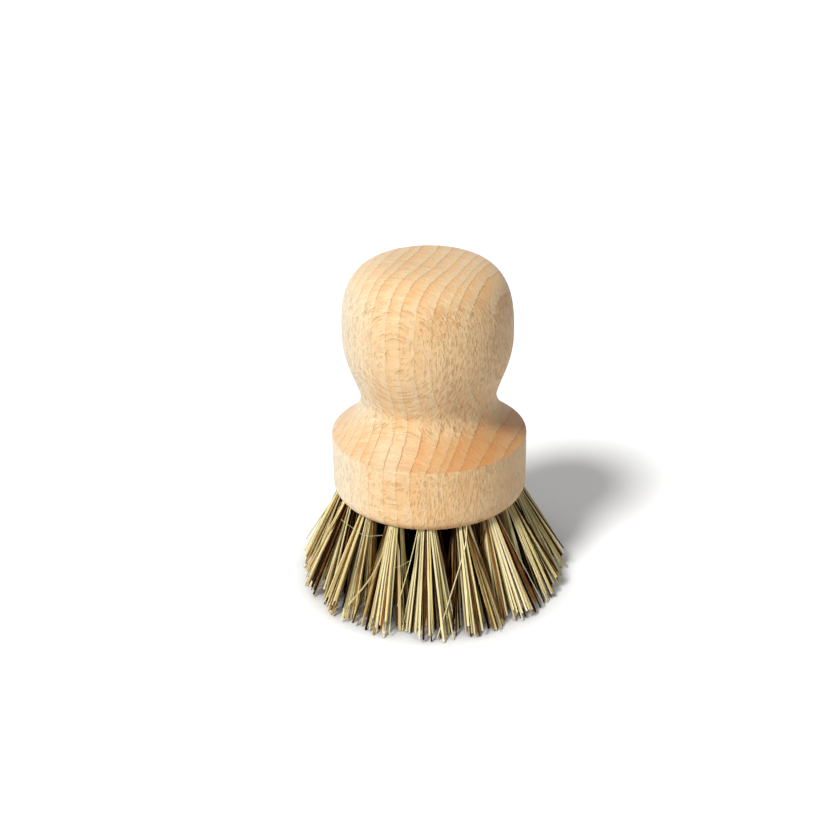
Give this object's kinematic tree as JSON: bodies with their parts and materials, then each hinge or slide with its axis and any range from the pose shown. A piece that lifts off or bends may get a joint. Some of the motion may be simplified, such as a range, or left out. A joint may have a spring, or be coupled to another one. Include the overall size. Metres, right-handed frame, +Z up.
{
  "type": "pot brush",
  "caption": "Palm-held round pot brush: a turned beech knob and drilled disc, set with splayed tufts of stiff mixed plant fibre on wire staples.",
  "frame": {"origin": "on the surface that the fibre tips stand on, under the middle of the turned block", "axes": "+Z up along the axis of the turned block, towards the knob's top; the side seen in the picture faces -Y"},
  "size_m": [0.0756, 0.0756, 0.09],
  "materials": {
    "beech": "bare fine-sanded beech, satin, with growth lines and ray flecks",
    "plant_fibre": "stiff plant fibre, a mix of pale straw, tan and dark brown, slightly glossy",
    "steel_wire": "bright drawn steel wire"
  },
  "bodies": {
    "root": {"hand_block": "beech", "tuft_outer_01": "plant_fibre", "tuft_outer_02": "plant_fibre", "tuft_outer_03": "plant_fibre", "tuft_outer_04": "plant_fibre", "tuft_outer_05": "plant_fibre", "tuft_outer_06": "plant_fibre", "tuft_outer_07": "plant_fibre", "tuft_outer_08": "plant_fibre", "tuft_outer_09": "plant_fibre", "tuft_outer_10": "plant_fibre", "tuft_outer_11": "plant_fibre", "tuft_outer_12": "plant_fibre", "tuft_outer_13": "plant_fibre", "tuft_outer_14": "plant_fibre", "tuft_outer_15": "plant_fibre", "tuft_outer_16": "plant_fibre", "tuft_middle_01": "plant_fibre", "tuft_middle_02": "plant_fibre", "tuft_middle_03": "plant_fibre", "tuft_middle_04": "plant_fibre", "tuft_middle_05": "plant_fibre", "tuft_middle_06": "plant_fibre", "tuft_middle_07": "plant_fibre", "tuft_middle_08": "plant_fibre", "tuft_middle_09": "plant_fibre", "tuft_inner_01": "plant_fibre", "tuft_inner_02": "plant_fibre", "tuft_inner_03": "plant_fibre", "tuft_inner_04": "plant_fibre", "staple_outer_01": "steel_wire", "staple_outer_02": "steel_wire", "staple_outer_03": "steel_wire", "staple_outer_04": "steel_wire", "staple_outer_05": "steel_wire", "staple_outer_06": "steel_wire", "staple_outer_07": "steel_wire", "staple_outer_08": "steel_wire", "staple_outer_09": "steel_wire", "staple_outer_10": "steel_wire", "staple_outer_11": "steel_wire", "staple_outer_12": "steel_wire", "staple_outer_13": "steel_wire", "staple_outer_14": "steel_wire", "staple_outer_15": "steel_wire", "staple_outer_16": "steel_wire", "staple_middle_01": "steel_wire", "staple_middle_02": "steel_wire", "staple_middle_03": "steel_wire", "staple_middle_04": "steel_wire", "staple_middle_05": "steel_wire", "staple_middle_06": "steel_wire", "staple_middle_07": "steel_wire", "staple_middle_08": "steel_wire", "staple_middle_09": "steel_wire", "staple_inner_01": "steel_wire", "staple_inner_02": "steel_wire", "staple_inner_03": "steel_wire", "staple_inner_04": "steel_wire"}
  },
  "joints": []
}
